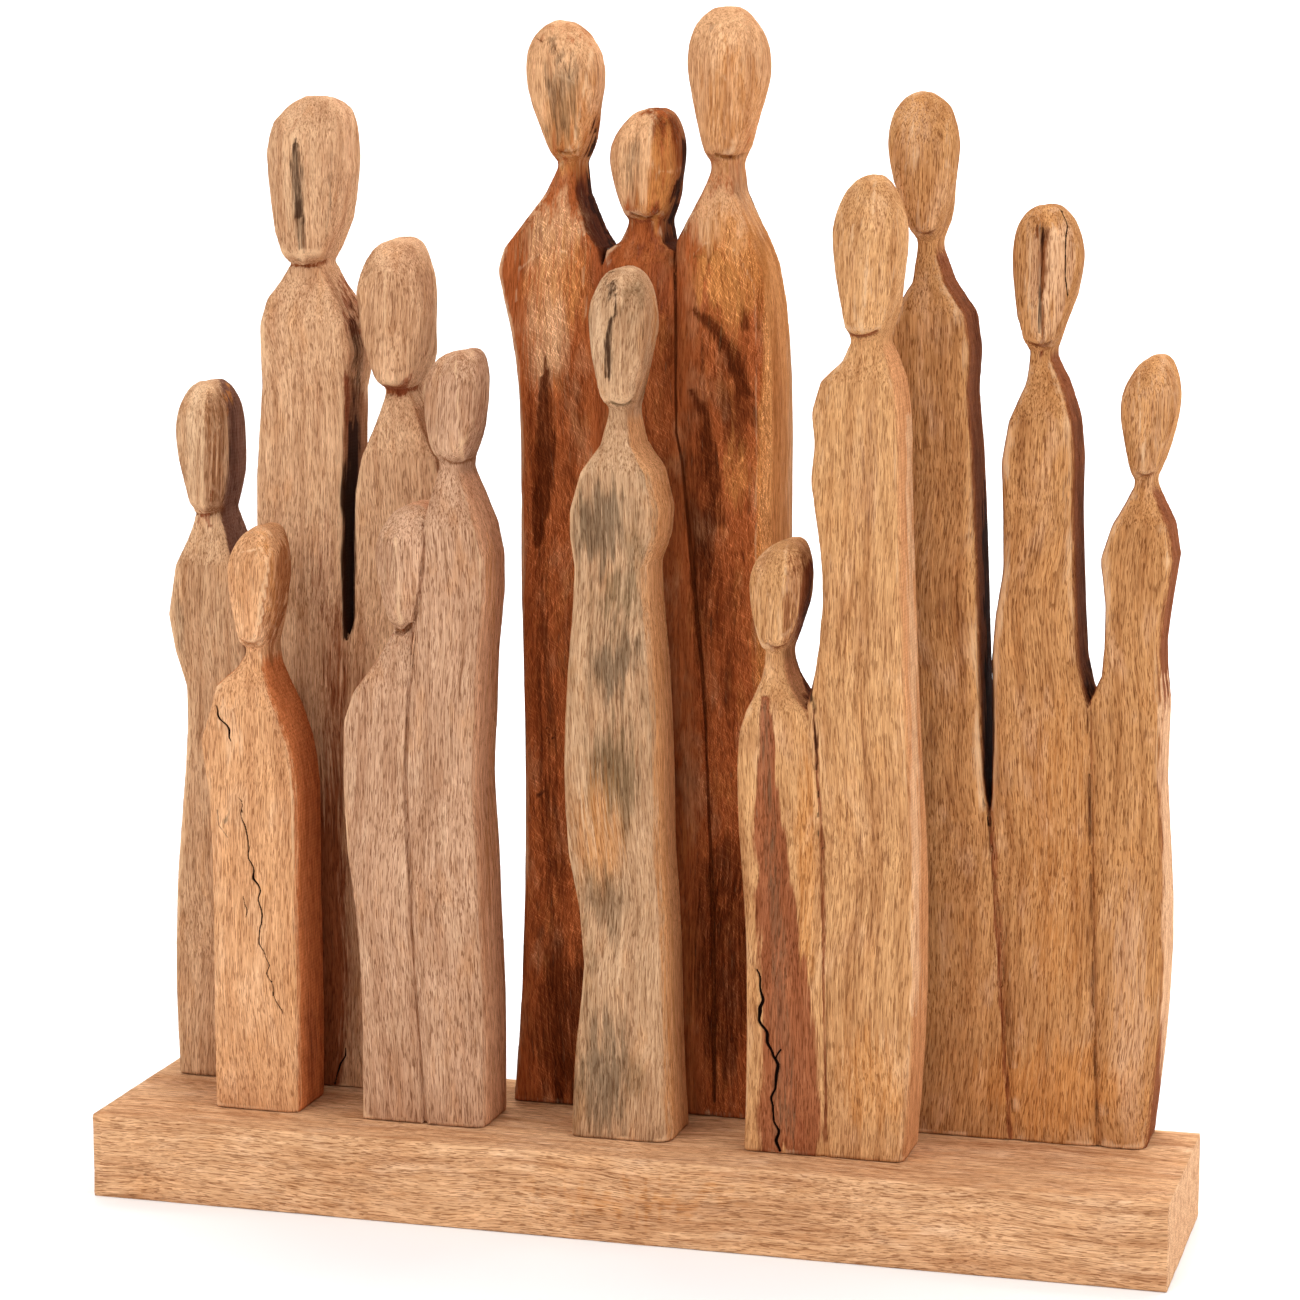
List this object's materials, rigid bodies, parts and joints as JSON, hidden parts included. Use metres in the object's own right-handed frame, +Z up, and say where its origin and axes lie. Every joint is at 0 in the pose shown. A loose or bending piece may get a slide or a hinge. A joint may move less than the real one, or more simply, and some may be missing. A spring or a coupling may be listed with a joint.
{
  "type": "abstract wood sculpture",
  "caption": "Group of slender faceless standing figures carved from mango planks, in two rows on a thick base board.",
  "frame": {"origin": "middle of the base board's underside", "axes": "+Z up, the figures face -Y, and the board runs along X"},
  "size_m": [0.5, 0.11, 0.546],
  "materials": {
    "board_wood": "sawn mango wood, dry and unvarnished, edges worn soft",
    "tan_wood": "knife-carved mango wood, tan brown, sides darkened by burning",
    "red_wood": "gouged and scraped mango heartwood, reddish brown with dark streaks",
    "golden_wood": "knife-carved mango wood, golden orange, saw marks on the sides",
    "pink_wood": "knife-carved mango wood, orange pink, with drying cracks",
    "pale_wood": "knife-carved mango wood, pale pinkish beige",
    "grey_wood": "knife-carved mango wood, pale grey beige with grey and black stains"
  },
  "bodies": {
    "root": {"base_board": "board_wood", "back_left_single": "tan_wood", "back_left_pair": "tan_wood", "back_centre_trio": "red_wood", "back_right_trio": "golden_wood", "front_left_single": "pink_wood", "front_left_pair": "pale_wood", "front_centre_single": "grey_wood", "front_right_pair": "golden_wood"}
  },
  "joints": []
}
